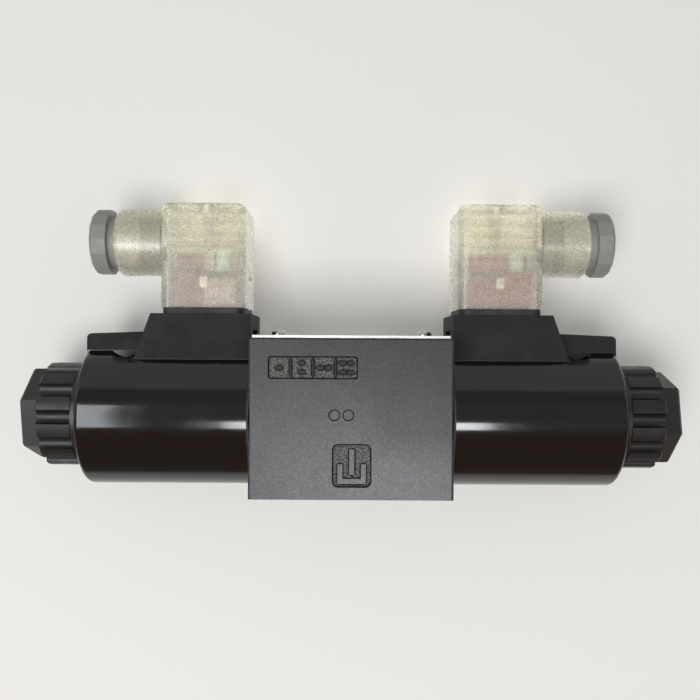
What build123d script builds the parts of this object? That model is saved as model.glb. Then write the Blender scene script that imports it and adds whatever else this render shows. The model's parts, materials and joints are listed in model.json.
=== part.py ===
from build123d import *
import os

# Double-solenoid directional valve of nominal size 6, in millimetres.
# The origin is the centre of the mounting face. +X runs along the spool, +Z points up
# from the mounting face, and the tank port is on the -Y side.
# Pieces that come in pairs are drawn on the +X side and mirrored to the -X side.

# Valve body
AXIS_Z = 25.0            # height of the spool axis above the mounting face
BODY_LENGTH = 65.0
BODY_WIDTH = 48.0
BODY_HEIGHT = 51.0
BORE_R = 6.25            # bore that the spool slides in
FIT_GAP = 0.03           # radial clearance of the ground sliding fits
STROKE = 3.0             # spool travel to each side

# Chambers in the spool bore: place of the middle, half width, radius
PRESSURE_CHAMBER = (0.0, 2.5, 9.0)
WORK_CHAMBER = (8.8, 2.5, 9.0)
TANK_CHAMBER = (17.35, 2.85, 12.0)

# Mounting face, as ISO 4401-03: ports as x, y and depth of the drilling
PORT_R = 3.75
PORTS = {
    "pressure": (0.0, 10.4, 22.0),
    "tank": (0.0, -10.4, 16.5),
    "work_a": (-8.8, 0.0, 17.0),
    "work_b": (8.7, 0.0, 17.0),
}
SEAL_POCKET_R = 6.1
SEAL_POCKET_DEPTH = 1.5
SEAL_RING_R = 5.2
SEAL_WIRE_R = 0.75
GALLERY_R = 3.5
GALLERY_Z = 16.5
GALLERY_END = 16.2
BOLTS = ((-21.5, -15.5), (-21.5, 15.5), (19.0, -16.25), (19.0, 16.25))
BOLT_HOLE_R = 2.75
BOLT_HEAD_R = 4.75
BOLT_HEAD_DEPTH = 15.0
PIN_HOLE = (11.5, 16.25)
PIN_HOLE_R = 2.0
PIN_HOLE_DEPTH = 4.0

# Nameplate and its drive screws
PLATE_LENGTH = 63.5
PLATE_WIDTH = 46.0
PLATE_THICK = 0.9
PLATE_CORNER_R = 0.6
PLATE_SCREW_X = 25.0
PLATE_SCREW_R = 1.5
PLATE_HEAD_R = 2.5
PLATE_HEAD_HEIGHT = 2.2
PLATE_SCREW_DEPTH = 4.5

# Solenoid tube, measured along +X from the middle of the valve
THREAD_R = 11.0          # threaded end in the body
THREAD_START = 22.5
POLE_START = 23.0
BODY_END = BODY_LENGTH / 2
TUBE_R = 10.0
TUBE_BORE_R = 8.6
POLE_SHOULDER = 41.0
POLE_FACE = 46.0
SPRING_POCKET_R = 8.5
SPRING_POCKET_END = 38.0
ARMATURE_START = 50.0
ARMATURE_END = 78.0
PIN_R = 2.0
PLUG_START = 86.0
TUBE_END = 100.0
OVERRIDE_R = 3.0
OVERRIDE_TIP = 84.2
OVERRIDE_END = 106.8

# Spool lands and centring springs
LAND_START = 5.9
LAND_END = 11.9
GUIDE_START = 19.4
GUIDE_END = 25.6
SEAT_THICK = 1.6
SEAT_R = 8.2
NECK_R = 4.0
TIP_R = 3.5
TIP_END = 29.0
SPRING_WIRE_R = 0.65
SPRING_R = 5.6
SPRING_TURNS = 4.5

# Coil
COIL_START = 33.2
COIL_END = 88.2
COIL_R = 23.5
COIL_BORE_R = 10.08
YOKE_START = 36.0
YOKE_END = 86.0
YOKE_R = 21.0
YOKE_WALL = 1.6
WINDING_R = 18.8
BLOCK_HALF = 14.0        # half depth of the terminal block on top of the coil
BLOCK_TOP = 59.0
BLOCK_END = 66.0
BLOCK_SLOPE = 0.36       # run of the sloping end of the block for each mm of height
SHELF_HALF = 9.0
SHELF_TOP = 53.4
SHELF_DROP = 1.1
SCOOP_X = 75.4
SCOOP_R = 4.2
SCOOP_FLOOR = 44.6
SLOT_Z = 52.1            # middle of the slot in the coil's inner side
SLOT_WIDTH = 12.0
SLOT_HEIGHT = 3.8
SLOT_DEPTH = 2.0

# Coil nut
WASHER_R = 17.2
NUT_START = 91.2
NUT_R = 17.5
HEX_START = 102.4
HEX_END = 108.5
HEX_FLATS = 27.0
FLUTES = 12
FLUTE_R = 2.4
FLUTE_DEPTH = 2.2
NUT_EDGE = 0.5           # chamfer at the outer end of the ring
HEX_EDGE = 0.8           # chamfer at the outer end of the hexagon
HEX_TURN = {"left": 160.0, "right": 198.0}    # where one corner of each hexagon points

# Plug connector on top of the coil
PLUG_X = 49.0
PLUG_HALF = 14.0
PLUG_BASE = 61.0
PLUG_TOP = 95.7
PLUG_WALL = 2.2
PLUG_ROOF = 3.4
PLUG_CORNER_R = 3.0
RIB_PITCH = 3.77
RIB_FIRST = 75.1
RIB_COUNT = 5
RIB_LENGTH = 22.0
RIB_WIDTH = 1.5
RIB_DEPTH = 0.45
BARREL_Z = 83.8
BARREL_R = 11.4
BARREL_END = 79.6
BARREL_BORE_R = 9.0
GROMMET_START = 64.0
GROMMET_END = 71.0
CABLE_R = 4.0
GLAND_HEAD_START = 82.0
GLAND_END = 87.5
GLAND_SIDES = 14
GLAND_HEAD_R = 11.1
GLAND_EDGE = 0.9         # chamfer at the outer end of the head
GLAND_TURN = {"left": 181.0, "right": 170.5}
BLADE_WIDTH = 6.3
BLADE_THICK = 0.8
BLADE_TOP = 69.5
BLADE_FOOT = 50.0
BLADE_Y = 8.5
EARTH_X = 40.6
SCREW_R = 1.5
SCREW_HEAD_R = 2.9
LAMP_OFFSET = 6.0        # both lamps stand this far to the +X side of their connector

AXIS_PLANE = Plane((0, 0, AXIS_Z), x_dir=(1, 0, 0), z_dir=(0, -1, 0))
SPOOL_AXIS = Axis((0, 0, AXIS_Z), (1, 0, 0))
BARREL_PLANE = Plane((0, 0, BARREL_Z), x_dir=(1, 0, 0), z_dir=(0, -1, 0))
BARREL_AXIS = Axis((0, 0, BARREL_Z), (1, 0, 0))
FRONT_FACE = Plane((0, -BODY_WIDTH / 2, 0), x_dir=(1, 0, 0), z_dir=(0, -1, 0))
SIDES = {"left": -1, "right": 1}


def save(piece, name):
    """Write one finished piece under its own name."""
    piece.label = name
    export_step(piece, f"parts/{name}.step")


def save_pair(piece, stem):
    """Write the +X piece, and its mirror image for the -X side."""
    save(piece, f"{stem}_right")
    save(mirror(piece, about=Plane.YZ), f"{stem}_left")


def across(x):
    """The plane square to the spool axis at x, centred on the axis, facing +X."""
    return Plane((x, 0, AXIS_Z), x_dir=(0, 1, 0), z_dir=(1, 0, 0))


def across_barrel(x):
    """The plane square to the cable entry at x, centred on the barrel, facing +X."""
    return Plane((x, 0, BARREL_Z), x_dir=(0, 1, 0), z_dir=(1, 0, 0))


def turned(corners, plane=AXIS_PLANE, axis=SPOOL_AXIS):
    """A turned piece from the corners of its half section, each given as (x, radius)."""
    with BuildPart() as piece:
        with BuildSketch(plane):
            with BuildLine():
                Polyline(*corners, close=True)
            make_face()
        revolve(axis=axis)
    return piece.part


def ring(start, end, inner, outer, plane=AXIS_PLANE, axis=SPOOL_AXIS):
    """A plain turned ring between two places and two radii."""
    return turned([(start, inner), (start, outer), (end, outer), (end, inner)], plane, axis)


def o_ring(x, ring_r, wire_r):
    """A round seal about the spool axis, given the radii of its ring and of its section."""
    with BuildPart() as seal:
        with BuildSketch(AXIS_PLANE):
            with Locations((x, ring_r)):
                Circle(wire_r)
        revolve(axis=SPOOL_AXIS)
    return seal.part


def valve_body():
    """Cast block with the spool bore, its chambers, the ports and the mounting holes."""
    mark_deep = 0.5
    mark_high = 0.42
    chambers = [PRESSURE_CHAMBER]
    for side in SIDES.values():
        for place, half_width, radius in (WORK_CHAMBER, TANK_CHAMBER):
            chambers.append((side * place, half_width, radius))
        socket = (THREAD_START + BODY_END) / 2
        chambers.append((side * socket, BODY_END - socket, THREAD_R))
    with BuildPart() as body:
        Box(BODY_LENGTH, BODY_WIDTH, BODY_HEIGHT, align=(Align.CENTER, Align.CENTER, Align.MIN))
        fillet(body.edges().filter_by(Axis.Z), radius=0.8)
        fillet(body.faces().sort_by(Axis.Z)[-1].edges(), radius=0.5)
        with BuildSketch(across(-BODY_END)):
            Circle(BORE_R)
        extrude(amount=BODY_LENGTH, mode=Mode.SUBTRACT)
        for place, half_width, radius in chambers:
            with BuildSketch(across(place - half_width)):
                Circle(radius)
            extrude(amount=2 * half_width, mode=Mode.SUBTRACT)
        with BuildSketch(Plane((-GALLERY_END, -10.4, GALLERY_Z), x_dir=(0, 1, 0), z_dir=(1, 0, 0))):
            Circle(GALLERY_R)
        extrude(amount=2 * GALLERY_END, mode=Mode.SUBTRACT)
        for x, y, depth in PORTS.values():
            with BuildSketch():
                with Locations((x, y)):
                    Circle(PORT_R)
            extrude(amount=depth, mode=Mode.SUBTRACT)
            with BuildSketch():
                with Locations((x, y)):
                    Circle(SEAL_POCKET_R)
            extrude(amount=SEAL_POCKET_DEPTH, mode=Mode.SUBTRACT)
        with BuildSketch():
            with Locations(PIN_HOLE):
                Circle(PIN_HOLE_R)
        extrude(amount=PIN_HOLE_DEPTH, mode=Mode.SUBTRACT)
        with Locations(*[(x, y, BODY_HEIGHT) for x, y in BOLTS]):
            CounterBoreHole(BOLT_HOLE_R, BOLT_HEAD_R, BOLT_HEAD_DEPTH)
        with BuildSketch(Plane.XY.offset(BODY_HEIGHT)):
            with Locations((-PLATE_SCREW_X, 0), (PLATE_SCREW_X, 0)):
                Circle(PLATE_SCREW_R)
        extrude(amount=-PLATE_SCREW_DEPTH, mode=Mode.SUBTRACT)
        # Sunk panels on the tank side: a batch panel, a port panel and two faint rings
        with BuildSketch(FRONT_FACE):
            with Locations((-12.15, 41.65)):
                RectangleRounded(28.5, 7.3, 1.0)
            with Locations((0.25, 10.8)):
                RectangleRounded(12.5, 13.8, 2.0)
        extrude(amount=-mark_deep, mode=Mode.SUBTRACT)
        with BuildSketch(FRONT_FACE):
            with Locations((-5.3, 26.7), (-0.9, 26.7)):
                Circle(1.9)
                Circle(1.5, mode=Mode.SUBTRACT)
        extrude(amount=-0.15, mode=Mode.SUBTRACT)
        # Raised batch marks: a growing number of pips in each cell
        with BuildSketch(FRONT_FACE.offset(-mark_deep)):
            for cell in range(4):
                cell_x = -22.8 + 7.1 * cell
                with Locations((cell_x, 41.65)):
                    with GridLocations(2.5, 2.9, 1 + cell // 2, 1 + cell % 2):
                        SlotOverall(2.1, 1.3)
            with Locations(*[(-19.25 + 7.1 * gap, 41.65) for gap in range(3)]):
                Rectangle(0.5, 5.4)
        extrude(amount=mark_high)
        # Raised sign for a line that ends in an open tank
        with BuildSketch(FRONT_FACE.offset(-mark_deep)):
            with Locations((0.25, 5.9)):
                Rectangle(9.0, 1.6)
            with Locations((-3.45, 8.6), (3.95, 8.6)):
                Rectangle(1.6, 5.4)
            with Locations((0.25, 12.0)):
                Rectangle(1.6, 8.0)
        extrude(amount=mark_high)
    return body.part


def spool():
    """Sliding spool: two lands that close the work ports, and a guide land at each end."""
    half = [
        (0, NECK_R), (LAND_START, NECK_R), (LAND_START, BORE_R - FIT_GAP),
        (LAND_END, BORE_R - FIT_GAP), (LAND_END, NECK_R), (GUIDE_START, NECK_R),
        (GUIDE_START, BORE_R - FIT_GAP), (GUIDE_END, BORE_R - FIT_GAP), (GUIDE_END, TIP_R),
        (TIP_END, TIP_R), (TIP_END, 0),
    ]
    return turned([(-x, r) for x, r in reversed(half)] + half[1:])


def port_orings():
    """Four seals, one in the pocket around each port, level with the mounting face."""
    with BuildPart() as seals:
        with Locations(*[(x, y, SEAL_WIRE_R) for x, y, depth in PORTS.values()]):
            Torus(SEAL_RING_R, SEAL_WIRE_R)
    return seals.part


def nameplate():
    """Thin plate on top of the body, open over the bolts."""
    with BuildPart() as plate:
        with BuildSketch(Plane.XY.offset(BODY_HEIGHT)):
            RectangleRounded(PLATE_LENGTH, PLATE_WIDTH, PLATE_CORNER_R)
            with Locations(*BOLTS):
                Circle(BOLT_HEAD_R + 0.5, mode=Mode.SUBTRACT)
            with Locations((-PLATE_SCREW_X, 0), (PLATE_SCREW_X, 0)):
                Circle(PLATE_SCREW_R, mode=Mode.SUBTRACT)
        extrude(amount=PLATE_THICK)
    return plate.part


def nameplate_screws():
    """Two round-headed drive screws that hold the nameplate."""
    head_z = BODY_HEIGHT + PLATE_THICK
    with BuildPart() as screws:
        with BuildSketch(Plane.XY.offset(BODY_HEIGHT - PLATE_SCREW_DEPTH)):
            with Locations((-PLATE_SCREW_X, 0), (PLATE_SCREW_X, 0)):
                Circle(PLATE_SCREW_R)
        extrude(amount=PLATE_SCREW_DEPTH + PLATE_THICK)
        with BuildSketch(Plane.XY.offset(head_z)):
            with Locations((-PLATE_SCREW_X, 0), (PLATE_SCREW_X, 0)):
                Circle(PLATE_HEAD_R)
        extrude(amount=PLATE_HEAD_HEIGHT)
        fillet(screws.edges().group_by(Axis.Z)[-1], radius=1.6)
    return screws.part


def spring_seat():
    """Washer on the end of the spool that the centring spring pushes on."""
    return ring(GUIDE_END, GUIDE_END + SEAT_THICK, TIP_R, SEAT_R)


def centring_spring():
    """Compression spring between its seat and the floor of the pole piece's pocket."""
    gap = 0.05
    start = GUIDE_END + SEAT_THICK + SPRING_WIRE_R + gap
    length = SPRING_POCKET_END - SPRING_WIRE_R - gap - start
    with BuildPart() as spring:
        with BuildLine():
            coil = Helix(
                length / SPRING_TURNS, length, SPRING_R,
                center=(start, 0, AXIS_Z), direction=(1, 0, 0),
            )
        with BuildSketch(Plane(coil @ 0, z_dir=coil % 0)):
            Circle(SPRING_WIRE_R)
        sweep(path=coil, is_frenet=True)
    return spring.part


def pole_piece():
    """Fixed iron core: screwed into the body, with the spring pocket and the pin's guide."""
    groove_start = 30.0
    groove_end = 32.2
    guide_r = PIN_R + FIT_GAP
    return turned([
        (POLE_START, SPRING_POCKET_R), (POLE_START, THREAD_R), (groove_start, THREAD_R),
        (groove_start, TUBE_R), (groove_end, TUBE_R), (groove_end, THREAD_R),
        (BODY_END, THREAD_R), (BODY_END, TUBE_R), (POLE_SHOULDER, TUBE_R),
        (POLE_SHOULDER, TUBE_BORE_R), (POLE_FACE, TUBE_BORE_R), (POLE_FACE, guide_r),
        (SPRING_POCKET_END, guide_r), (SPRING_POCKET_END, SPRING_POCKET_R),
    ])


def tube_plug():
    """Plug welded in the tube's end, with the bore and the seal groove of the override pin."""
    bore_r = OVERRIDE_R + 0.05
    groove_r = 4.8
    return turned([
        (PLUG_START, bore_r), (PLUG_START, TUBE_BORE_R), (TUBE_END, TUBE_BORE_R),
        (TUBE_END, bore_r), (92.8, bore_r), (92.8, groove_r), (91.0, groove_r), (91.0, bore_r),
    ])


def override_pin():
    """Push pin for working the valve by hand, with the collar that keeps it in the tube."""
    collar_r = 4.6
    return turned([
        (OVERRIDE_TIP, 0), (OVERRIDE_TIP, collar_r), (PLUG_START - 0.2, collar_r),
        (PLUG_START - 0.2, OVERRIDE_R), (OVERRIDE_END - 0.8, OVERRIDE_R),
        (OVERRIDE_END, OVERRIDE_R - 0.8), (OVERRIDE_END, 0),
    ])


def armature():
    """Sliding iron core, with a socket for the push pin and two oil passages."""
    passage_r = 1.1
    passage_y = 5.4
    with BuildPart() as core:
        with BuildSketch(across(ARMATURE_START)):
            Circle(TUBE_BORE_R - 0.05)
            with Locations((-passage_y, 0), (passage_y, 0)):
                Circle(passage_r, mode=Mode.SUBTRACT)
        extrude(amount=ARMATURE_END - ARMATURE_START)
        with BuildSketch(across(ARMATURE_START)):
            Circle(PIN_R)
        extrude(amount=4.0, mode=Mode.SUBTRACT)
    return core.part


def coil_bobbin():
    """Reel that carries the winding."""
    tube_r = COIL_BORE_R + 1.0
    flange_r = YOKE_R - YOKE_WALL
    start = YOKE_START + 2.0
    end = YOKE_END - 2.0
    return turned([
        (start, COIL_BORE_R), (start, flange_r), (start + 1.2, flange_r), (start + 1.2, tube_r),
        (end - 1.2, tube_r), (end - 1.2, flange_r), (end, flange_r), (end, COIL_BORE_R),
    ])


def coil_winding():
    """Copper winding as one solid."""
    return ring(YOKE_START + 3.2, YOKE_END - 3.2, COIL_BORE_R + 1.0, WINDING_R)


def coil_yoke():
    """Iron shell around the winding, closed by an end plate at each side."""
    inner_r = YOKE_R - YOKE_WALL
    return turned([
        (YOKE_START, COIL_BORE_R), (YOKE_START, YOKE_R), (YOKE_END, YOKE_R),
        (YOKE_END, COIL_BORE_R), (YOKE_END - 2.0, COIL_BORE_R), (YOKE_END - 2.0, inner_r),
        (YOKE_START + 2.0, inner_r), (YOKE_START + 2.0, COIL_BORE_R),
    ])


def blade_outlines(clearance=0.0):
    """The three flat contacts in plan: two power blades and the earth blade."""
    wide = BLADE_WIDTH + 2 * clearance
    thick = BLADE_THICK + 2 * clearance
    with BuildSketch() as blades:
        with Locations((PLUG_X, -BLADE_Y), (PLUG_X, BLADE_Y)):
            Rectangle(wide, thick)
        with Locations((EARTH_X, 0)):
            Rectangle(thick, wide)
    return blades.sketch


def coil_housing():
    """Moulded coil cover: the drum, the terminal block on top and the low shelf behind it."""
    slope_foot = 40.0
    foot_x = BLOCK_END + BLOCK_SLOPE * (BLOCK_TOP - slope_foot)
    with BuildPart() as housing:
        with BuildSketch(across(COIL_START)):
            Circle(COIL_R)
        extrude(amount=COIL_END - COIL_START)
        fillet(housing.edges().group_by(Axis.X)[-1], radius=1.8)
        with BuildSketch(Plane.XZ):
            with BuildLine():
                Polyline(
                    (COIL_START, slope_foot), (COIL_START, BLOCK_TOP),
                    (BLOCK_END, BLOCK_TOP), (foot_x, slope_foot), close=True,
                )
            make_face()
        extrude(amount=BLOCK_HALF, both=True)
        with BuildSketch(Plane.XZ):
            with BuildLine():
                Polyline(
                    (BLOCK_END - 5, slope_foot + 3), (BLOCK_END - 5, SHELF_TOP),
                    (COIL_END, SHELF_TOP - SHELF_DROP), (COIL_END, slope_foot + 3), close=True,
                )
            outline = make_face()
            fillet(outline.vertices().sort_by(Axis.X)[-2:].sort_by(Axis.Z)[-1:], radius=1.6)
        extrude(amount=SHELF_HALF, both=True)
        # Scoops at the foot of the shelf, one on each side of it
        with BuildSketch(Plane.XY.offset(SCOOP_FLOOR)):
            with Locations((SCOOP_X, -SHELF_HALF), (SCOOP_X, SHELF_HALF)):
                Circle(SCOOP_R)
            Rectangle(3 * COIL_END, 2 * SHELF_HALF, mode=Mode.SUBTRACT)
        extrude(amount=5.0, mode=Mode.SUBTRACT)
        # Shallow slot in the inner side, over the nameplate
        with BuildSketch(Plane((COIL_START, 0, SLOT_Z), x_dir=(0, 1, 0), z_dir=(1, 0, 0))):
            Rectangle(SLOT_WIDTH, SLOT_HEIGHT)
        extrude(amount=SLOT_DEPTH, mode=Mode.SUBTRACT)
        # Room for the tube, the yoke, the contacts and the connector's screw
        with BuildSketch(across(COIL_START)):
            Circle(COIL_BORE_R)
        extrude(amount=COIL_END - COIL_START, mode=Mode.SUBTRACT)
        with BuildSketch(across(YOKE_START)):
            Circle(YOKE_R)
        extrude(amount=YOKE_END - YOKE_START, mode=Mode.SUBTRACT)
        with BuildSketch(Plane.XY.offset(BLADE_FOOT)):
            add(blade_outlines())
            with Locations((PLUG_X, 0)):
                Circle(SCREW_R)
        extrude(amount=BLOCK_TOP - BLADE_FOOT, mode=Mode.SUBTRACT)
    return housing.part


def coil_terminals():
    """Three flat contacts that stand out of the terminal block."""
    with BuildPart() as blades:
        with BuildSketch(Plane.XY.offset(BLADE_FOOT)):
            add(blade_outlines())
        extrude(amount=BLADE_TOP - BLADE_FOOT)
    return blades.part


def coil_nut(turn):
    """Ring nut with round flutes and a hexagon, open at its end for the override pin."""
    flute_place = NUT_R - FLUTE_DEPTH + FLUTE_R
    with BuildPart() as nut:
        with BuildSketch(across(NUT_START)):
            Circle(NUT_R)
        extrude(amount=HEX_START - NUT_START)
        chamfer(nut.edges().group_by(Axis.X)[-1], length=NUT_EDGE)
        with BuildSketch(across(NUT_START)):
            with PolarLocations(flute_place, FLUTES):
                Circle(FLUTE_R)
        extrude(amount=HEX_START - NUT_START, mode=Mode.SUBTRACT)
        with BuildSketch(across(HEX_START)):
            RegularPolygon(HEX_FLATS / 2, 6, major_radius=False, rotation=turn)
        extrude(amount=HEX_END - HEX_START)
        chamfer(nut.edges().group_by(Axis.X)[-1], length=HEX_EDGE)
        with BuildSketch(across(NUT_START)):
            Circle(TUBE_R + 0.06)
        extrude(amount=TUBE_END + 0.6 - NUT_START, mode=Mode.SUBTRACT)
        with BuildSketch(across(NUT_START)):
            Circle(OVERRIDE_R + 1.3)
        extrude(amount=HEX_END - NUT_START, mode=Mode.SUBTRACT)
    return nut.part


def connector_gasket():
    """Flat seal between the terminal block and the connector."""
    with BuildPart() as gasket:
        with BuildSketch(Plane.XY.offset(BLOCK_TOP)):
            with Locations((PLUG_X, 0)):
                RectangleRounded(2 * PLUG_HALF - 1.0, 2 * PLUG_HALF - 1.0, PLUG_CORNER_R)
                Circle(SCREW_R + 0.3, mode=Mode.SUBTRACT)
            add(blade_outlines(0.15), mode=Mode.SUBTRACT)
        extrude(amount=PLUG_BASE - BLOCK_TOP)
    return gasket.part


def connector_housing():
    """Clear moulded cover of the plug, with the barrel for the cable gland."""
    inner_half = PLUG_HALF - PLUG_WALL
    far_wall = PLUG_X + inner_half
    with BuildPart() as cover:
        with BuildSketch(Plane.XY.offset(PLUG_BASE)):
            with Locations((PLUG_X, 0)):
                RectangleRounded(2 * PLUG_HALF, 2 * PLUG_HALF, PLUG_CORNER_R)
        extrude(amount=PLUG_TOP - PLUG_BASE)
        fillet(cover.faces().sort_by(Axis.Z)[-1].edges(), radius=PLUG_CORNER_R - 0.2)
        with BuildSketch(across_barrel(far_wall)):
            Circle(BARREL_R)
        extrude(amount=BARREL_END - far_wall)
        fillet(cover.edges().group_by(Axis.X)[-1], radius=2.0)
        # Inside of the cover and of the barrel
        with BuildSketch(Plane.XY.offset(PLUG_BASE)):
            with Locations((PLUG_X, 0)):
                RectangleRounded(2 * inner_half, 2 * inner_half, 1.2)
        extrude(amount=PLUG_TOP - PLUG_ROOF - PLUG_BASE, mode=Mode.SUBTRACT)
        with BuildSketch(across_barrel(far_wall - 0.5)):
            Circle(BARREL_BORE_R - 2.5)
        extrude(amount=GROMMET_START - far_wall + 0.5, mode=Mode.SUBTRACT)
        with BuildSketch(across_barrel(GROMMET_START)):
            Circle(BARREL_BORE_R)
        extrude(amount=BARREL_END - GROMMET_START, mode=Mode.SUBTRACT)
        # Hole and head recess of the central screw
        with Locations((PLUG_X, 0, PLUG_TOP)):
            CounterBoreHole(SCREW_R + 0.2, SCREW_HEAD_R + 0.4, 2.6, depth=PLUG_ROOF + 1.0)
        # Grip grooves on both broad sides
        for side in SIDES.values():
            face = Plane((0, side * PLUG_HALF, 0), x_dir=(1, 0, 0), z_dir=(0, side, 0))
            with BuildSketch(face):
                for rib in range(RIB_COUNT):
                    with Locations((PLUG_X - 0.7, -side * (RIB_FIRST + rib * RIB_PITCH))):
                        Rectangle(RIB_LENGTH, RIB_WIDTH)
            extrude(amount=-RIB_DEPTH, mode=Mode.SUBTRACT)
        # Slot for a screwdriver in the inner side
        with BuildSketch(Plane((PLUG_X - PLUG_HALF, 0, 71.5), x_dir=(0, 1, 0), z_dir=(1, 0, 0))):
            Rectangle(9.0, 1.6)
        extrude(amount=1.0, mode=Mode.SUBTRACT)
    return cover.part


def terminal_insert():
    """Contact carrier inside the connector, stepped down towards the valve's middle."""
    with BuildPart() as insert:
        with BuildSketch(Plane.XY.offset(PLUG_BASE)):
            with Locations((PLUG_X, 0)):
                RectangleRounded(21.0, 21.0, 1.0)
        extrude(amount=9.5)
        with BuildSketch(Plane.XY.offset(PLUG_BASE + 9.5)):
            with Locations((PLUG_X + 5.25, 0)):
                RectangleRounded(10.5, 21.0, 1.0)
        extrude(amount=2.6)
        with BuildSketch(Plane.XY.offset(PLUG_BASE)):
            add(blade_outlines(0.1))
            with Locations((PLUG_X, 0)):
                Circle(SCREW_R + 0.2)
        extrude(amount=20.0, mode=Mode.SUBTRACT)
    return insert.part


def indicator_module(lamp_x):
    """Potted suppressor block on the contact carrier, with a notch where the lamp stands."""
    base = PLUG_BASE + 12.4
    with BuildPart() as module:
        with BuildSketch(Plane.XY.offset(base)):
            with Locations((PLUG_X, 0)):
                RectangleRounded(19.0, 17.0, 1.0)
            with Locations((PLUG_X, 0)):
                Circle(SCREW_R + 0.4, mode=Mode.SUBTRACT)
            with Locations((lamp_x, -7.0)):
                Rectangle(6.0, 6.0, mode=Mode.SUBTRACT)
        extrude(amount=6.0)
    return module.part


def indicator_lamp(lamp_x):
    """Light-emitting diode that shows when the coil is on."""
    base = PLUG_BASE + 12.5
    with BuildPart() as lamp:
        with BuildSketch(Plane.XY.offset(base)):
            with Locations((lamp_x, -6.9)):
                Circle(2.5)
        extrude(amount=8.0)
        fillet(lamp.edges().group_by(Axis.Z)[-1], radius=2.3)
        with BuildSketch(Plane.XY.offset(base)):
            with Locations((lamp_x, -6.9)):
                Circle(2.9)
        extrude(amount=1.0)
    return lamp.part


def connector_screw():
    """Slotted screw from the connector's roof down into the terminal block."""
    head_base = PLUG_TOP - 2.6
    with BuildPart() as screw:
        with BuildSketch(Plane.XY.offset(BLADE_FOOT)):
            with Locations((PLUG_X, 0)):
                Circle(SCREW_R)
        extrude(amount=head_base - BLADE_FOOT)
        with BuildSketch(Plane.XY.offset(head_base)):
            with Locations((PLUG_X, 0)):
                Circle(SCREW_HEAD_R)
        extrude(amount=2.2)
        with BuildSketch(Plane.XY.offset(head_base + 1.2)):
            with Locations((PLUG_X, 0)):
                Rectangle(2 * SCREW_HEAD_R + 1, 0.8)
        extrude(amount=1.2, mode=Mode.SUBTRACT)
    return screw.part


def gland_nut(turn):
    """Cable gland nut: a threaded neck in the barrel and a head with many flats."""
    neck_start = GROMMET_END + 1.1
    with BuildPart() as nut:
        with BuildSketch(across_barrel(neck_start)):
            Circle(BARREL_BORE_R - 0.06)
        extrude(amount=GLAND_HEAD_START - neck_start)
        with BuildSketch(across_barrel(GLAND_HEAD_START)):
            RegularPolygon(GLAND_HEAD_R, GLAND_SIDES, rotation=turn)
        extrude(amount=GLAND_END - GLAND_HEAD_START)
        chamfer(nut.edges().group_by(Axis.X)[-1], length=GLAND_EDGE)
        with BuildSketch(across_barrel(neck_start)):
            Circle(CABLE_R + 1.0)
        extrude(amount=GLAND_END - neck_start, mode=Mode.SUBTRACT)
    return nut.part


os.makedirs("parts", exist_ok=True)

save(valve_body(), "valve_body")
save(spool(), "spool")
save(port_orings(), "port_orings")
save(nameplate(), "nameplate")
save(nameplate_screws(), "nameplate_screws")

save_pair(spring_seat(), "spring_seat")
save_pair(centring_spring(), "centring_spring")
save_pair(pole_piece(), "pole_piece")
save_pair(o_ring(31.1, TUBE_R + 0.5, 0.5), "tube_seal")
save_pair(ring(POLE_SHOULDER, TUBE_END, TUBE_BORE_R, TUBE_R), "core_tube")
save_pair(tube_plug(), "tube_plug")
save_pair(override_pin(), "override_pin")
save_pair(o_ring(91.9, OVERRIDE_R + 1.0, 0.7), "override_seal")
save_pair(armature(), "armature")
save_pair(ring(TIP_END + 0.1, ARMATURE_START + 4.0, 0, PIN_R), "push_pin")

save_pair(ring(BODY_END + 0.05, COIL_START - 0.05, THREAD_R + 1, COIL_R + 0.5), "coil_gasket")
save_pair(coil_bobbin(), "coil_bobbin")
save_pair(coil_winding(), "coil_winding")
save_pair(coil_yoke(), "coil_yoke")
save_pair(coil_housing(), "coil_housing")
save_pair(coil_terminals(), "coil_terminals")
save_pair(ring(COIL_END + 0.05, NUT_START - 0.1, TUBE_R + 0.1, WASHER_R), "nut_washer")
save_pair(connector_gasket(), "connector_gasket")
save_pair(connector_housing(), "connector_housing")
save_pair(terminal_insert(), "terminal_insert")
save_pair(connector_screw(), "connector_screw")
save_pair(
    ring(GROMMET_START, GROMMET_END, CABLE_R, BARREL_BORE_R - 0.1, BARREL_PLANE, BARREL_AXIS),
    "gland_grommet",
)
save_pair(
    ring(
        GROMMET_END, GROMMET_END + 1.0, CABLE_R + 1, BARREL_BORE_R - 0.1,
        BARREL_PLANE, BARREL_AXIS,
    ),
    "gland_washer",
)

# The pieces below are not mirror images of each other
for side_name, sign in SIDES.items():
    lamp_place = PLUG_X + sign * LAMP_OFFSET
    for piece, stem in (
        (coil_nut(HEX_TURN[side_name]), "coil_nut"),
        (gland_nut(GLAND_TURN[side_name]), "gland_nut"),
        (indicator_module(lamp_place), "indicator_module"),
        (indicator_lamp(lamp_place), "indicator_lamp"),
    ):
        if side_name == "left":
            piece = mirror(piece, about=Plane.YZ)
        save(piece, f"{stem}_{side_name}")
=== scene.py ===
import json
import math

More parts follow.
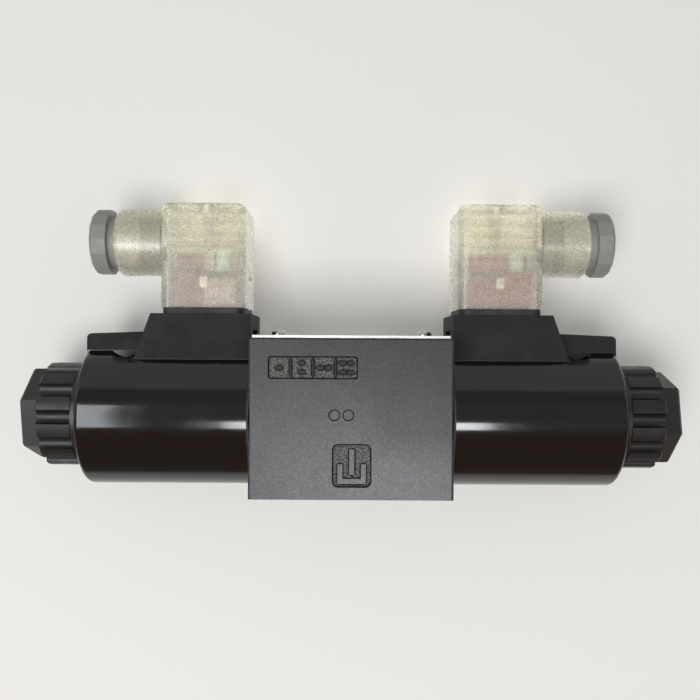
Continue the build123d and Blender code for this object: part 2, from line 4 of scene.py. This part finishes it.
import bmesh
import bpy
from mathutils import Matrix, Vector

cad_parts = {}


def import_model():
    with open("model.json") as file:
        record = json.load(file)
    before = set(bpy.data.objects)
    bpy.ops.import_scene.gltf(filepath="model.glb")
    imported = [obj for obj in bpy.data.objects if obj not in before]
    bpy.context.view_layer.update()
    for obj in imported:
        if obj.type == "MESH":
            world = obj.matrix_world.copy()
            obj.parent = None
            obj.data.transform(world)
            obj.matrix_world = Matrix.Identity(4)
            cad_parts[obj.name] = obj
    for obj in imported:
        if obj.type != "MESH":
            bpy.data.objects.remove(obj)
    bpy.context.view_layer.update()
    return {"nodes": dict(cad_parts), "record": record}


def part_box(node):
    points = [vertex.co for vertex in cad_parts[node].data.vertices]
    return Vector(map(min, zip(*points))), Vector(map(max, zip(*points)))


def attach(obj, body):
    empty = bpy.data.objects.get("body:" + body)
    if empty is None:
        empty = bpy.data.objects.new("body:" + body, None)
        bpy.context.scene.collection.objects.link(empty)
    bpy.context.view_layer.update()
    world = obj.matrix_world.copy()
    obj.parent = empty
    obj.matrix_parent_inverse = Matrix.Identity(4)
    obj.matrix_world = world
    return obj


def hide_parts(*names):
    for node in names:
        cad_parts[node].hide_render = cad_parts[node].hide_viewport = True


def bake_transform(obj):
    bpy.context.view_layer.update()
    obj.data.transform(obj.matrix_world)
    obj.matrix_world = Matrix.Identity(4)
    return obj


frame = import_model()
nodes = frame["nodes"]
scene = bpy.context.scene
SIDES = {"left": -1, "right": 1}
MM = 0.001

# Places that the looks depend on, in metres, read from the frame
body_low, body_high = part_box("valve_body")
spool_low, spool_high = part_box("spool")
plug_low, plug_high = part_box("connector_housing_right")
plate_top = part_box("nameplate")[1].z
AXIS_Z = (spool_low.z + spool_high.z) / 2
DRUM_R = (body_high.y - body_low.y) / 2 - 0.5 * MM
CARRIER_STEP = sum(corner.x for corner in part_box("terminal_insert_left")) / 2
PLUG_X = plug_low.x + (plug_high.y - plug_low.y) / 2    # middle of a connector's square part

# Marks on the front of the body
MARK_DEPTH = 0.5 * MM
RAISED_FROM = 0.1 * MARK_DEPTH
FLOOR_FROM = 0.4 * MARK_DEPTH
MARKS_TO = 1.5 * MARK_DEPTH
PIPS_FROM = 30 * MM      # the raised marks above this height are the batch pips
MARK_EDGE = 0.05 * MM    # depth over which a mark's look fades in

# Fine ribs on the connectors: their pitch, their lowest and highest place, and half their length
RIB_PITCH = 3.77 * MM
RIBS_FROM = plug_high.z - 22.4 * MM
RIBS_TO = plug_high.z - 3.4 * MM
RIBS_HALF = 11.2 * MM
# Painted shade and highlight over one pitch: three dark lines of painted shade, and a painted bright line
# near the top
RIB_SHADE_AND_HIGHLIGHT = (
    (0.00, 0.68), (0.06, 1.0), (0.12, 1.0), (0.16, 0.76), (0.22, 0.96), (0.40, 0.96),
    (0.44, 0.82), (0.50, 0.97), (0.80, 0.97), (0.86, 1.04), (0.93, 1.04), (1.0, 0.68),
)


# ---------------------------------------------------------------- node helpers

def linear(*srgb):
    """Screen colour values from 0 to 255 as the linear ones that shaders take."""
    return tuple((v / 255 / 12.92) if v < 11 else ((v / 255 + 0.055) / 1.055) ** 2.4 for v in srgb)


def opaque(colour):
    """A colour, or a grey given as one number, with an alpha of 1."""
    red, green, blue = colour if isinstance(colour, tuple) else (colour,) * 3
    return (red, green, blue, 1.0)


class Nodes:
    """Short calls that fill the node tree of a material or a world."""

    def __init__(self, owner):
        owner.use_nodes = True
        self.tree = owner.node_tree
        self.tree.nodes.clear()

    def add(self, kind):
        return self.tree.nodes.new(kind)

    def link(self, source, target):
        self.tree.links.new(source, target)

    def feed(self, socket, value):
        """Gives a socket a number, a colour or another node's output."""
        if isinstance(value, bpy.types.NodeSocket):
            self.link(value, socket)
        elif socket.type == "RGBA":
            socket.default_value = opaque(value)
        else:
            socket.default_value = value

    def calc(self, operation, *values, clamp=False):
        node = self.add("ShaderNodeMath")
        node.operation = operation
        node.use_clamp = clamp
        for socket, value in zip(node.inputs, values):
            self.feed(socket, value)
        return node.outputs[0]

    def both(self, mask, other):
        """A mask of what two masks share."""
        return self.calc("MULTIPLY", mask, other)

    def above(self, value, limit):
        return self.calc("GREATER_THAN", value, limit)

    def below(self, value, limit):
        return self.calc("LESS_THAN", value, limit)

    def rise(self, value, start, over):
        """A mask that is 0 up to start and grows to 1 over the next stretch."""
        return self.calc("DIVIDE", self.calc("SUBTRACT", value, start), over, clamp=True)

    def mix(self, share, a, b, blend="MIX"):
        node = self.add("ShaderNodeMix")
        node.data_type = "RGBA"
        node.blend_type = blend
        for index, value in ((0, share), (6, a), (7, b)):
            self.feed(node.inputs[index], value)
        return node.outputs[2]

    def times(self, a, b):
        """One colour multiplied by another."""
        return self.mix(1.0, a, b, "MULTIPLY")

    def ramp(self, source, stops, smooth=False):
        """Colours or greys along a value, each stop given as (place, colour)."""
        node = self.add("ShaderNodeValToRGB")
        node.color_ramp.interpolation = "EASE" if smooth else "LINEAR"
        elements = node.color_ramp.elements
        while len(elements) < len(stops):
            elements.new(0.5)
        for element, (place, colour) in zip(elements, stops):
            element.position = place
            element.color = opaque(colour)
        self.link(source, node.inputs["Fac"])
        return node.outputs["Color"]

    def split(self, vector):
        """The X, Y and Z of a vector."""
        node = self.add("ShaderNodeSeparateXYZ")
        self.link(vector, node.inputs[0])
        return tuple(node.outputs)

    def plain(self, kind, colour, strength=None):
        """A simple shader: a background, a glow or a dull surface."""
        node = self.add(kind)
        self.feed(node.inputs["Color"], colour)
        if strength is not None:
            self.feed(node.inputs["Strength"], strength)
        return node.outputs[0]

    def choose(self, share, a, b):
        """Shader a where the share is 0, and shader b where it is 1."""
        node = self.add("ShaderNodeMixShader")
        for socket, source in zip(node.inputs, (share, a, b)):
            self.link(source, socket)
        return node.outputs[0]

    def show(self, shader, kind="ShaderNodeOutputMaterial"):
        """Sends a finished shader to the tree's output, which is of another kind in a world."""
        self.link(shader, self.add(kind).inputs["Surface"])


class Shader(Nodes):
    """A material with one Principled shader, and short calls for what feeds it."""

    def __init__(self, name, metallic=0.0, ior=1.5):
        MATERIALS[name] = bpy.data.materials.new(name)
        super().__init__(MATERIALS[name])
        node = self.add("ShaderNodeBsdfPrincipled")
        self.show(node.outputs["BSDF"])
        self.sockets = node.inputs
        self.feed(self.sockets["Metallic"], metallic)
        self.feed(self.sockets["IOR"], ior)
        self.place = self.add("ShaderNodeTexCoord").outputs["Object"]
        self.x, self.y, self.z = self.split(self.place)

    def colour(self, source):
        self.feed(self.sockets["Base Color"], source)

    def roughness(self, source):
        self.feed(self.sockets["Roughness"], source)

    def bump(self, height, relief):
        """Adds relief: a height of 1 stands that many millimetres off the surface."""
        node = self.add("ShaderNodeBump")
        self.feed(node.inputs["Distance"], relief * MM)
        self.link(height, node.inputs["Height"])
        normal = self.sockets["Normal"]
        if normal.is_linked:
            self.link(normal.links[0].from_socket, node.inputs["Normal"])
        self.link(node.outputs["Normal"], normal)

    def stretched(self, scales):
        """Object coordinates scaled along each axis, for grain that runs one way."""
        node = self.add("ShaderNodeMapping")
        node.inputs["Scale"].default_value = scales
        self.link(self.place, node.inputs["Vector"])
        return node.outputs["Vector"]

    def noise(self, scale, detail=2.0, rough=0.5, vector=None):
        """Noise with that many blotches to the metre."""
        node = self.add("ShaderNodeTexNoise")
        self.feed(node.inputs["Scale"], scale)
        self.feed(node.inputs["Detail"], detail)
        self.feed(node.inputs["Roughness"], rough)
        self.link(vector or self.place, node.inputs["Vector"])
        return node.outputs["Fac"]


# ------------------------------------------------------------------- materials

MATERIALS = {}    # every Shader puts its material here, under the name it was made with


def body_marks(m):
    """Masks of the sunk floors and the raised pips, and a painted shade from ambient occlusion that
    darkens every mark's edge.
    """
    depth = m.calc("SUBTRACT", m.y, body_low.y)
    shallow = m.below(depth, MARKS_TO)
    floor = m.both(m.rise(depth, FLOOR_FROM, MARK_EDGE), shallow)
    raised = m.both(m.above(depth, RAISED_FROM), shallow)
    pips = m.both(m.both(raised, m.above(m.z, PIPS_FROM)), m.calc("SUBTRACT", 1.0, floor))
    # Painted shade: occlusion near the walls of each mark, which darkens the colour at its edges
    corners = m.add("ShaderNodeAmbientOcclusion")
    corners.samples = 16
    m.feed(corners.inputs["Distance"], 1.9 * MARK_DEPTH)
    outline = m.ramp(corners.outputs["AO"], [(0.74, 0.02), (0.95, 1.0)])
    return floor, pips, outline


def body_iron():
    """Phosphated cast iron, ground, with a painted dark reflection right of the middle, rough floors in
    its sunk marks, painted shade at their edges, and pips painted dark as shade.
    """
    m = Shader("body_iron")
    fine = m.noise(2600, detail=4, rough=0.65)
    grains = m.ramp(fine, [
        (0.3, linear(36, 36, 37)), (0.5, linear(52, 52, 53)), (0.74, linear(84, 84, 85)),
    ])
    clouds = m.ramp(m.noise(70, detail=4), [(0.34, (0.80, 0.78, 0.76)), (0.62, (1.06, 1.06, 1.07))])
    ground = m.times(grains, clouds)
    cast = m.ramp(m.noise(1700, detail=3), [(0.40, linear(34, 33, 32)), (0.60, linear(118, 115, 110))])
    floor, pips, outline = body_marks(m)

    # Painted dark reflection: the ground colour is darkened to the right of the middle, and half way up
    across = m.calc("ADD", m.calc("MULTIPLY", m.x, 0.5 / body_high.x), 0.5)
    up = m.calc("DIVIDE", m.z, body_high.z)
    painted_dark_reflection = m.both(
        m.ramp(across, [(0.42, 0.0), (0.75, 1.0)], smooth=True),
        m.ramp(up, [(0.18, 0.0), (0.46, 1.0), (0.72, 1.0), (0.98, 0.0)], smooth=True),
    )
    ground = m.mix(painted_dark_reflection, ground, m.times(ground, (0.72, 0.70, 0.68)))
    # The raised pips are painted near black, as painted shade
    colour = m.mix(pips, m.mix(floor, ground, cast), linear(34, 33, 33))
    # Painted shade at every mark's edge is multiplied into the colour here
    m.colour(m.times(colour, outline))

    sheen = m.times(m.ramp(fine, [(0.3, 0.40), (0.7, 0.30)]), m.ramp(across, [(0.1, 1.02), (0.9, 0.90)]))
    sheen = m.mix(painted_dark_reflection, sheen, m.times(sheen, 1.12))
    marked = m.calc("MAXIMUM", floor, pips)
    m.roughness(m.mix(outline, 1.0, m.mix(marked, sheen, 0.6)))
    m.feed(m.sockets["Specular IOR Level"], 0.38)
    m.bump(fine, 0.014)
    m.bump(m.noise(700, detail=3), 0.02)


def coil_plastic():
    """Black thermoset: the drum is polished, and the block and shelf on it are satin."""
    m = Shader("coil_plastic", ior=1.52)
    height = m.calc("SUBTRACT", m.z, AXIS_Z)
    squares = m.calc("ADD", m.calc("MULTIPLY", m.y, m.y), m.calc("MULTIPLY", height, height))
    satin = m.rise(m.calc("SQRT", squares), DRUM_R + 0.05 * MM, 0.125 * MM)
    specks = m.ramp(m.noise(1800, detail=2), [(0.64, 0.0), (0.72, 1.0)])
    drum = m.mix(specks, (0.0035, 0.003, 0.003), (0.009, 0.0085, 0.008))
    block = m.ramp(m.noise(500, detail=4), [(0.3, (0.003, 0.0029, 0.003)), (0.7, (0.006, 0.0058, 0.006))])
    m.colour(m.mix(satin, drum, block))
    wear = m.noise(90, detail=5, rough=0.6)
    polished = m.ramp(wear, [(0.3, 0.07), (0.7, 0.14)])
    dull = m.ramp(wear, [(0.3, 0.74), (0.7, 0.88)])
    m.roughness(m.mix(satin, polished, dull))
    m.bump(m.noise(240, detail=2), 0.004)


def clear_plastic():
    """Pale yellow moulding that lets a soft light through, with painted shade and highlight lines where
    its ribs are, and painted shade that darkens it towards the bottom.
    """
    m = Shader("clear_plastic", ior=1.46)
    skin = m.ramp(m.noise(120, detail=3), [(0.3, linear(229, 226, 206)), (0.7, linear(237, 235, 219))])
    # Painted shade: the skin is darker and bluer towards the bottom, with a painted brighter band near
    # the top
    climb = m.calc("DIVIDE", m.calc("SUBTRACT", m.z, plug_low.z), plug_high.z - plug_low.z)
    shade = m.ramp(climb, [
        (0.0, (0.86, 0.85, 0.90)), (0.42, (0.90, 0.89, 0.93)), (0.58, 0.96), (0.88, 0.97),
        (0.93, (1.05, 1.05, 1.04)),
    ])
    skin = m.times(skin, shade)
    # Painted shade and highlight lines along the ribs
    pitches = m.calc("DIVIDE", m.calc("SUBTRACT", m.z, RIBS_FROM), RIB_PITCH)
    lines = m.ramp(m.calc("FRACT", pitches), RIB_SHADE_AND_HIGHLIGHT)
    aside = m.calc("ABSOLUTE", m.calc("SUBTRACT", m.calc("ABSOLUTE", m.x), PLUG_X))
    ribbed = m.both(m.above(m.z, RIBS_FROM), m.below(m.z, RIBS_TO))
    ribbed = m.both(ribbed, m.below(aside, RIBS_HALF))
    specks = m.ramp(m.noise(1500, detail=3), [(0.38, 0.80), (0.58, 1.02)])
    m.colour(m.mix(ribbed, m.times(skin, specks), m.times(skin, lines)))
    m.feed(m.sockets["Transmission Weight"], 0.71)
    m.roughness(m.ramp(m.noise(600, detail=4), [(0.3, 0.18), (0.7, 0.32)]))
    m.bump(m.noise(420, detail=2), 0.005)


def moulded(name, dark, light, low, high, grain=900, blotches=180):
    """A plain moulded plastic or rubber with a fine grain and a roughness from low to high."""
    m = Shader(name)
    fine = m.noise(grain, detail=3)
    m.colour(m.ramp(fine, [(0.3, dark), (0.7, light)]))
    m.roughness(m.ramp(m.noise(blotches, detail=4), [(0.3, low), (0.7, high)]))
    m.bump(fine, 0.012)


def metal(name, dark, light, low, high, along=(1, 1, 1)):
    """A turned, drawn or rolled metal, with its tool marks stretched along one axis."""
    m = Shader(name, metallic=1.0)
    grain = m.noise(1200, detail=4, vector=m.stretched(along))
    m.colour(m.ramp(grain, [(0.3, dark), (0.7, light)]))
    m.roughness(m.ramp(grain, [(0.3, low), (0.7, high)]))
    m.bump(grain, 0.006)


def copper_wire():
    """Enamelled wire wound in even turns along the coil, with painted shade between the turns and a
    painted highlight on each.
    """
    m = Shader("copper_wire", metallic=1.0)
    turn = 0.6 * MM
    turns = m.calc("SINE", m.calc("MULTIPLY", m.x, 2 * math.pi / turn))
    # Painted shade between the turns and painted highlight on their crowns; the same wave gives their
    # relief
    m.colour(m.ramp(turns, [(0.0, linear(120, 60, 35)), (1.0, linear(205, 125, 80))]))
    m.roughness(0.3)
    m.bump(turns, 0.1)


def clamp_plating_and_glint():
    """Bright tin plating with a soft sheen, painted near white so that it also shows as a painted glint.
    """
    m = Shader("clamp_plating_and_glint", metallic=0.35)
    grain = m.noise(900, detail=2)
    # Painted glint: a near white colour
    m.colour(m.ramp(grain, [(0.3, linear(240, 238, 228)), (0.7, linear(252, 251, 246))]))
    m.roughness(m.ramp(grain, [(0.3, 0.2), (0.7, 0.35)]))


def insert_plastic():
    """Terminal carrier: red where the left one stands tall, greyish beside that, pink in the right."""
    m = Shader("insert_plastic")
    soft = m.noise(300, detail=3)
    pink = m.ramp(soft, [(0.3, linear(128, 64, 76)), (0.7, linear(150, 86, 94))])
    greyish = m.ramp(soft, [(0.3, linear(164, 142, 144)), (0.7, linear(186, 166, 166))])
    paler = m.mix(m.below(m.x, 0.0), pink, greyish)
    m.colour(m.mix(m.below(m.x, CARRIER_STEP), paler, linear(104, 12, 26)))
    m.roughness(m.ramp(m.noise(200), [(0.3, 0.35), (0.7, 0.5)]))


def lamp_plastic():
    """Pale diffusing lens of the lamp, its blue-white colour partly a painted reflection."""
    m = Shader("lamp_plastic")
    # The pale lens is tinted blue-white as a painted reflection
    m.colour(m.ramp(m.noise(400), [(0.3, linear(184, 202, 200)), (0.7, linear(206, 222, 220))]))
    m.roughness(0.25)


def grey(value):
    return linear(value, value, value)


LENGTHWISE = (4, 1, 1)
ROLLED = (0.1, 2, 2)

body_iron()
coil_plastic()
clear_plastic()
copper_wire()
clamp_plating_and_glint()
insert_plastic()
lamp_plastic()
metal("spool_steel", linear(150, 150, 152), linear(205, 205, 207), 0.15, 0.3, LENGTHWISE)
metal("plate_aluminium", linear(180, 178, 172), linear(204, 202, 196), 0.3, 0.45, ROLLED)
metal("screw_steel", linear(170, 170, 172), grey(214), 0.2, 0.36)
metal("spring_steel", linear(120, 120, 124), linear(170, 170, 172), 0.25, 0.4)
metal("core_steel", linear(130, 130, 132), grey(180), 0.25, 0.42, LENGTHWISE)
metal("tube_steel", linear(160, 160, 163), linear(208, 208, 210), 0.2, 0.36, LENGTHWISE)
metal("yoke_iron", linear(88, 88, 92), linear(120, 120, 124), 0.4, 0.55)
metal("contact_brass", linear(176, 160, 120), linear(214, 200, 160), 0.24, 0.4)
moulded("nut_plastic", 0.005, (0.010, 0.0096, 0.010), 0.36, 0.50, grain=1500, blotches=200)
moulded("black_rubber", grey(22), grey(36), 0.55, 0.75)
moulded("washer_rubber", grey(26), grey(40), 0.3, 0.45)
moulded("grommet_rubber", linear(52, 58, 54), linear(72, 78, 74), 0.6, 0.8)
moulded("gland_plastic", linear(142, 141, 138), linear(156, 155, 152), 0.42, 0.58)
moulded("bobbin_plastic", linear(176, 170, 150), linear(196, 190, 172), 0.4, 0.6)

for row in frame["record"]["subparts"]:
    mesh = nodes[row["node"]].data
    mesh.materials.clear()
    mesh.materials.append(MATERIALS[row["material_slot"]])

# Light gets through the clear covers, so they throw no shadow on what is inside them
for side_name in SIDES:
    nodes[f"connector_housing_{side_name}"].visible_shadow = False


# --------------------------------------------------------------- small details

class Solid:
    """A detail built from closed prisms, each over a flat outline."""

    def __init__(self, plane):
        """The plane takes a point's two places in the outline and its height to a place in the scene."""
        self.plane = plane
        self.points = []
        self.faces = []

    def prism(self, outline, start, end):
        """A prism over an outline, from a start height to an end height."""
        first, count = len(self.points), len(outline)
        for height in (start, end):
            self.points += [self.plane(u, v, height) for u, v in outline]
        self.faces.append([first + i for i in range(count)][::-1])
        self.faces.append([first + count + i for i in range(count)])
        for i in range(count):
            after = (i + 1) % count
            self.faces.append([first + i, first + after, first + count + after, first + count + i])

    def bar(self, a, b, width, start, end):
        """A straight line of a given width from a to b."""
        run = Vector(b) - Vector(a)
        aside = Vector((-run.y, run.x)).normalized() * (width / 2)
        corners = (Vector(a) - aside, Vector(b) - aside, Vector(b) + aside, Vector(a) + aside)
        self.prism([tuple(corner) for corner in corners], start, end)

    def arrow(self, a, b, width, start, end):
        """A line from a to b with a solid head at b, 5 line widths long and 4 wide."""
        run = (Vector(b) - Vector(a)).normalized()
        neck = Vector(b) - run * (5 * width)
        aside = Vector((-run.y, run.x)) * (2 * width)
        self.bar(a, neck, width, start, end)
        self.prism([tuple(neck - aside), b, tuple(neck + aside)], start, end)

    def place(self, name, material, slot_name, body):
        mesh = bpy.data.meshes.new(name)
        mesh.from_pydata(self.points, [], self.faces)
        shape = bmesh.new()
        shape.from_mesh(mesh)
        bmesh.ops.recalc_face_normals(shape, faces=shape.faces)
        shape.to_mesh(mesh)
        shape.free()
        mesh.materials.append(material)
        piece = bpy.data.objects.new(name, mesh)
        scene.collection.objects.link(piece)
        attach(piece, body)


def plate_diagram():
    """Flow diagram of a three position valve, printed on the nameplate without any letters."""
    ink_width, ink_height = 0.35 * MM, 0.02 * MM
    box = 6.2 * MM            # side of the square for one position
    half = box / 2
    lane = 1.6 * MM           # how far a port's line is from the middle of its square
    reach = half * 0.86       # half the height of an arrow
    stub = 1.3 * MM           # length and width of the sign for a closed port
    coil_half = 1.2 * MM      # half the height of the box for a solenoid
    diagram = Solid(lambda u, v, height: (u, v, plate_top + height))

    def line(a, b):
        diagram.bar(a, b, ink_width, 0.0, ink_height)

    def arrow(a, b):
        diagram.arrow(a, b, ink_width, 0.0, ink_height)

    for middle in (-box, 0.0, box):
        left, right = middle - half, middle + half
        line((left, -half), (right, -half))
        line((left, half), (right, half))
        line((left, -half), (left, half))
        line((right, -half), (right, half))
    arrow((-box - lane, -reach), (-box - lane, reach))
    arrow((-box + lane, reach), (-box + lane, -reach))
    arrow((box - lane, -reach), (box + lane, reach))
    arrow((box + lane, -reach), (box - lane, reach))
    for across in (-lane, lane):
        for level in (-half, half):
            end = level * (1 - stub / half)
            line((across, level), (across, end))
            line((across - stub / 2, end), (across + stub / 2, end))
    for sign in SIDES.values():
        inner, outer = sign * 1.5 * box, sign * 2.0 * box
        line((inner, -coil_half), (outer, -coil_half))
        line((inner, coil_half), (outer, coil_half))
        line((outer, -coil_half), (outer, coil_half))
        line((inner, -coil_half), (outer, coil_half))
    diagram.place("plate_diagram", MATERIALS["washer_rubber"], "washer_rubber", "root")


def terminal_clamp(side_name):
    """Plated clamp with a slotted screw, on the front of the contact carrier."""
    carrier_low, carrier_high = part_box(f"terminal_insert_{side_name}")
    middle_x = (carrier_low.x + carrier_high.x) / 2
    middle_z = carrier_high.z - 3.6 * MM
    half_wide, half_tall, corner, clamp_high = 1.3 * MM, 1.8 * MM, 0.4 * MM, 0.7 * MM
    screw_r, slot_half, head_high = 1.0 * MM, 0.18 * MM, 1.1 * MM
    clamp = Solid(lambda u, v, height: (middle_x + u, carrier_low.y - height, middle_z + v))
    clamp.prism([
        (-half_wide + corner, -half_tall), (half_wide - corner, -half_tall),
        (half_wide, -half_tall + corner), (half_wide, half_tall - corner),
        (half_wide - corner, half_tall), (-half_wide + corner, half_tall),
        (-half_wide, half_tall - corner), (-half_wide, -half_tall + corner),
    ], 0.0, clamp_high)
    open_angle = math.asin(slot_half / screw_r)
    steps = 12
    for turn in (0.0, math.pi):
        arc = [turn + open_angle + (math.pi - 2 * open_angle) * i / steps for i in range(steps + 1)]
        clamp.prism([(screw_r * math.cos(a), screw_r * math.sin(a)) for a in arc], clamp_high, head_high)
    clamp.place(
        f"terminal_clamp_{side_name}", MATERIALS["clamp_plating_and_glint"], "contact_brass", f"coil_{side_name}",
    )


def working_spring(side_name):
    """A copy of the centring spring, which takes the place of the CAD one."""
    node = nodes[f"centring_spring_{side_name}"]
    spring = bpy.data.objects.new(f"working_spring_{side_name}", node.data.copy())
    spring.matrix_world = node.matrix_world.copy()
    scene.collection.objects.link(spring)
    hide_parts(node.name)
    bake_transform(spring)


plate_diagram()
for side_name, sign in SIDES.items():
    terminal_clamp(side_name)
    working_spring(side_name)


# ------------------------------------------------------------- stage and light

PALE = linear(228, 227, 224)
PALE_BEHIND = (0.77, 0.75, 0.72)
FLOOR_NEAR = (0.32, 0.21, 0.17)
FLOOR_FAR = (0.22, 0.15, 0.12)
MIDDLE = (0.42, 0.42, 0.46)
DARK_WALL = (0.36, 0.35, 0.35)
CEILING_LOW = (0.80, 0.78, 0.74)
CEILING_HIGH = (0.62, 0.60, 0.57)
# What a mirror sees at each angle, in degrees, turning from straight in front of the valve
# up over it, and at -180 and 180 straight behind it
ROOM = (
    (-180, PALE_BEHIND), (-112, PALE_BEHIND), (-104, FLOOR_FAR), (-26, FLOOR_NEAR),
    (-14, MIDDLE), (22, MIDDLE), (25, DARK_WALL), (43, DARK_WALL),
    (48, CEILING_LOW), (105, CEILING_HIGH), (112, PALE_BEHIND), (180, PALE_BEHIND),
)


def world():
    """Even pale light; mirrors see a pale table behind and a dim room in front."""
    studio = bpy.data.worlds.new("studio")
    scene.world = studio
    sky = Nodes(studio)
    direction = sky.add("ShaderNodeTexCoord").outputs["Generated"]
    y, z = sky.split(direction)[1:]
    angle = sky.calc("ARCTAN2", z, sky.calc("MULTIPLY", y, -1.0))
    turn = sky.calc("ADD", sky.calc("MULTIPLY", angle, 0.5 / math.pi), 0.5)
    room = sky.ramp(turn, [(degrees / 360 + 0.5, colour) for degrees, colour in ROOM])
    even = sky.plain("ShaderNodeBackground", PALE, 0.44)
    mirrored = sky.plain("ShaderNodeBackground", room)
    seen = sky.plain("ShaderNodeBackground", PALE)
    ray = sky.add("ShaderNodeLightPath").outputs
    lit = sky.choose(ray["Is Glossy Ray"], even, mirrored)
    sky.show(sky.choose(ray["Is Camera Ray"], lit, seen), "ShaderNodeOutputWorld")


def table():
    """The pale table top that the valve lies against, seen from its front side only."""
    half, gap = 3.0, 0.3 * MM
    level = body_high.y + gap
    mesh = bpy.data.meshes.new("table")
    corners = [(x * half, level, z * half) for x, z in ((-1, -1), (1, -1), (1, 1), (-1, 1))]
    mesh.from_pydata(corners, [], [(0, 1, 2, 3)])
    top = bpy.data.objects.new("table", mesh)
    scene.collection.objects.link(top)
    material = bpy.data.materials.new("table")
    mesh.materials.append(material)
    paint = Nodes(material)
    lit = paint.add("ShaderNodeAddShader")
    paint.link(paint.plain("ShaderNodeBsdfDiffuse", linear(236, 235, 232)), lit.inputs[0])
    paint.link(paint.plain("ShaderNodeEmission", PALE, 0.18), lit.inputs[1])
    clear = paint.add("ShaderNodeBsdfTransparent").outputs[0]
    back = paint.add("ShaderNodeNewGeometry").outputs["Backfacing"]
    paint.show(paint.choose(back, lit.outputs[0], clear))
    top.visible_diffuse = False
    top.visible_glossy = False
    top.visible_shadow = False


def area_light(name, place, target, size, power, colour, mirror_only=False):
    """A soft lamp. One for mirrors only shows as a highlight, and the others show in no mirror."""
    data = bpy.data.lights.new(name, "AREA")
    data.shape = "RECTANGLE"
    data.size, data.size_y = size
    data.energy = power
    data.color = colour
    lamp = bpy.data.objects.new(name, data)
    lamp.location = place
    lamp.rotation_mode = "QUATERNION"
    lamp.rotation_quaternion = (Vector(target) - Vector(place)).to_track_quat("-Z", "Y")
    lamp.visible_diffuse = not mirror_only
    lamp.visible_transmission = not mirror_only
    lamp.visible_glossy = mirror_only
    scene.collection.objects.link(lamp)


def lights():
    """Two soft lamps light the valve, and two more only draw the highlights on its drums."""
    warm = (1.0, 0.99, 0.982)
    middle, drums = (0, 0, 0.04), (0, 0, 0.02)
    area_light("key", (-0.22, -1.0, -0.31), middle, size=(0.5, 0.5), power=6.4, colour=warm)
    area_light("back", (0.35, 0.95, 0.45), middle, size=(0.7, 0.7), power=4.5, colour=warm)
    area_light(
        "lamp_low", (0.01, -0.8, -0.16), drums,
        size=(0.34, 0.16), power=3.1, colour=(0.94, 0.97, 1.0), mirror_only=True,
    )
    area_light(
        "lamp_side", (-0.46, -0.8, 0.02), drums,
        size=(0.30, 0.55), power=3.6, colour=(0.92, 0.96, 1.0), mirror_only=True,
    )


def camera():
    """Straight at the front, 0.28 m off, with the photo's small roll, in degrees."""
    place, focal_length, roll = (-0.0005, -0.280, 0.0473), 41.8, -0.35
    data = bpy.data.cameras.new("camera")
    data.sensor_width = 36.0
    data.lens = focal_length
    data.clip_start = 0.01
    data.clip_end = 20.0
    eye = bpy.data.objects.new("camera", data)
    eye.location = place
    eye.rotation_euler = (math.radians(90), math.radians(roll), 0)
    scene.collection.objects.link(eye)
    scene.camera = eye


camera()
world()
table()
lights()

scene.view_settings.view_transform = "Standard"
scene.view_settings.look = "None"
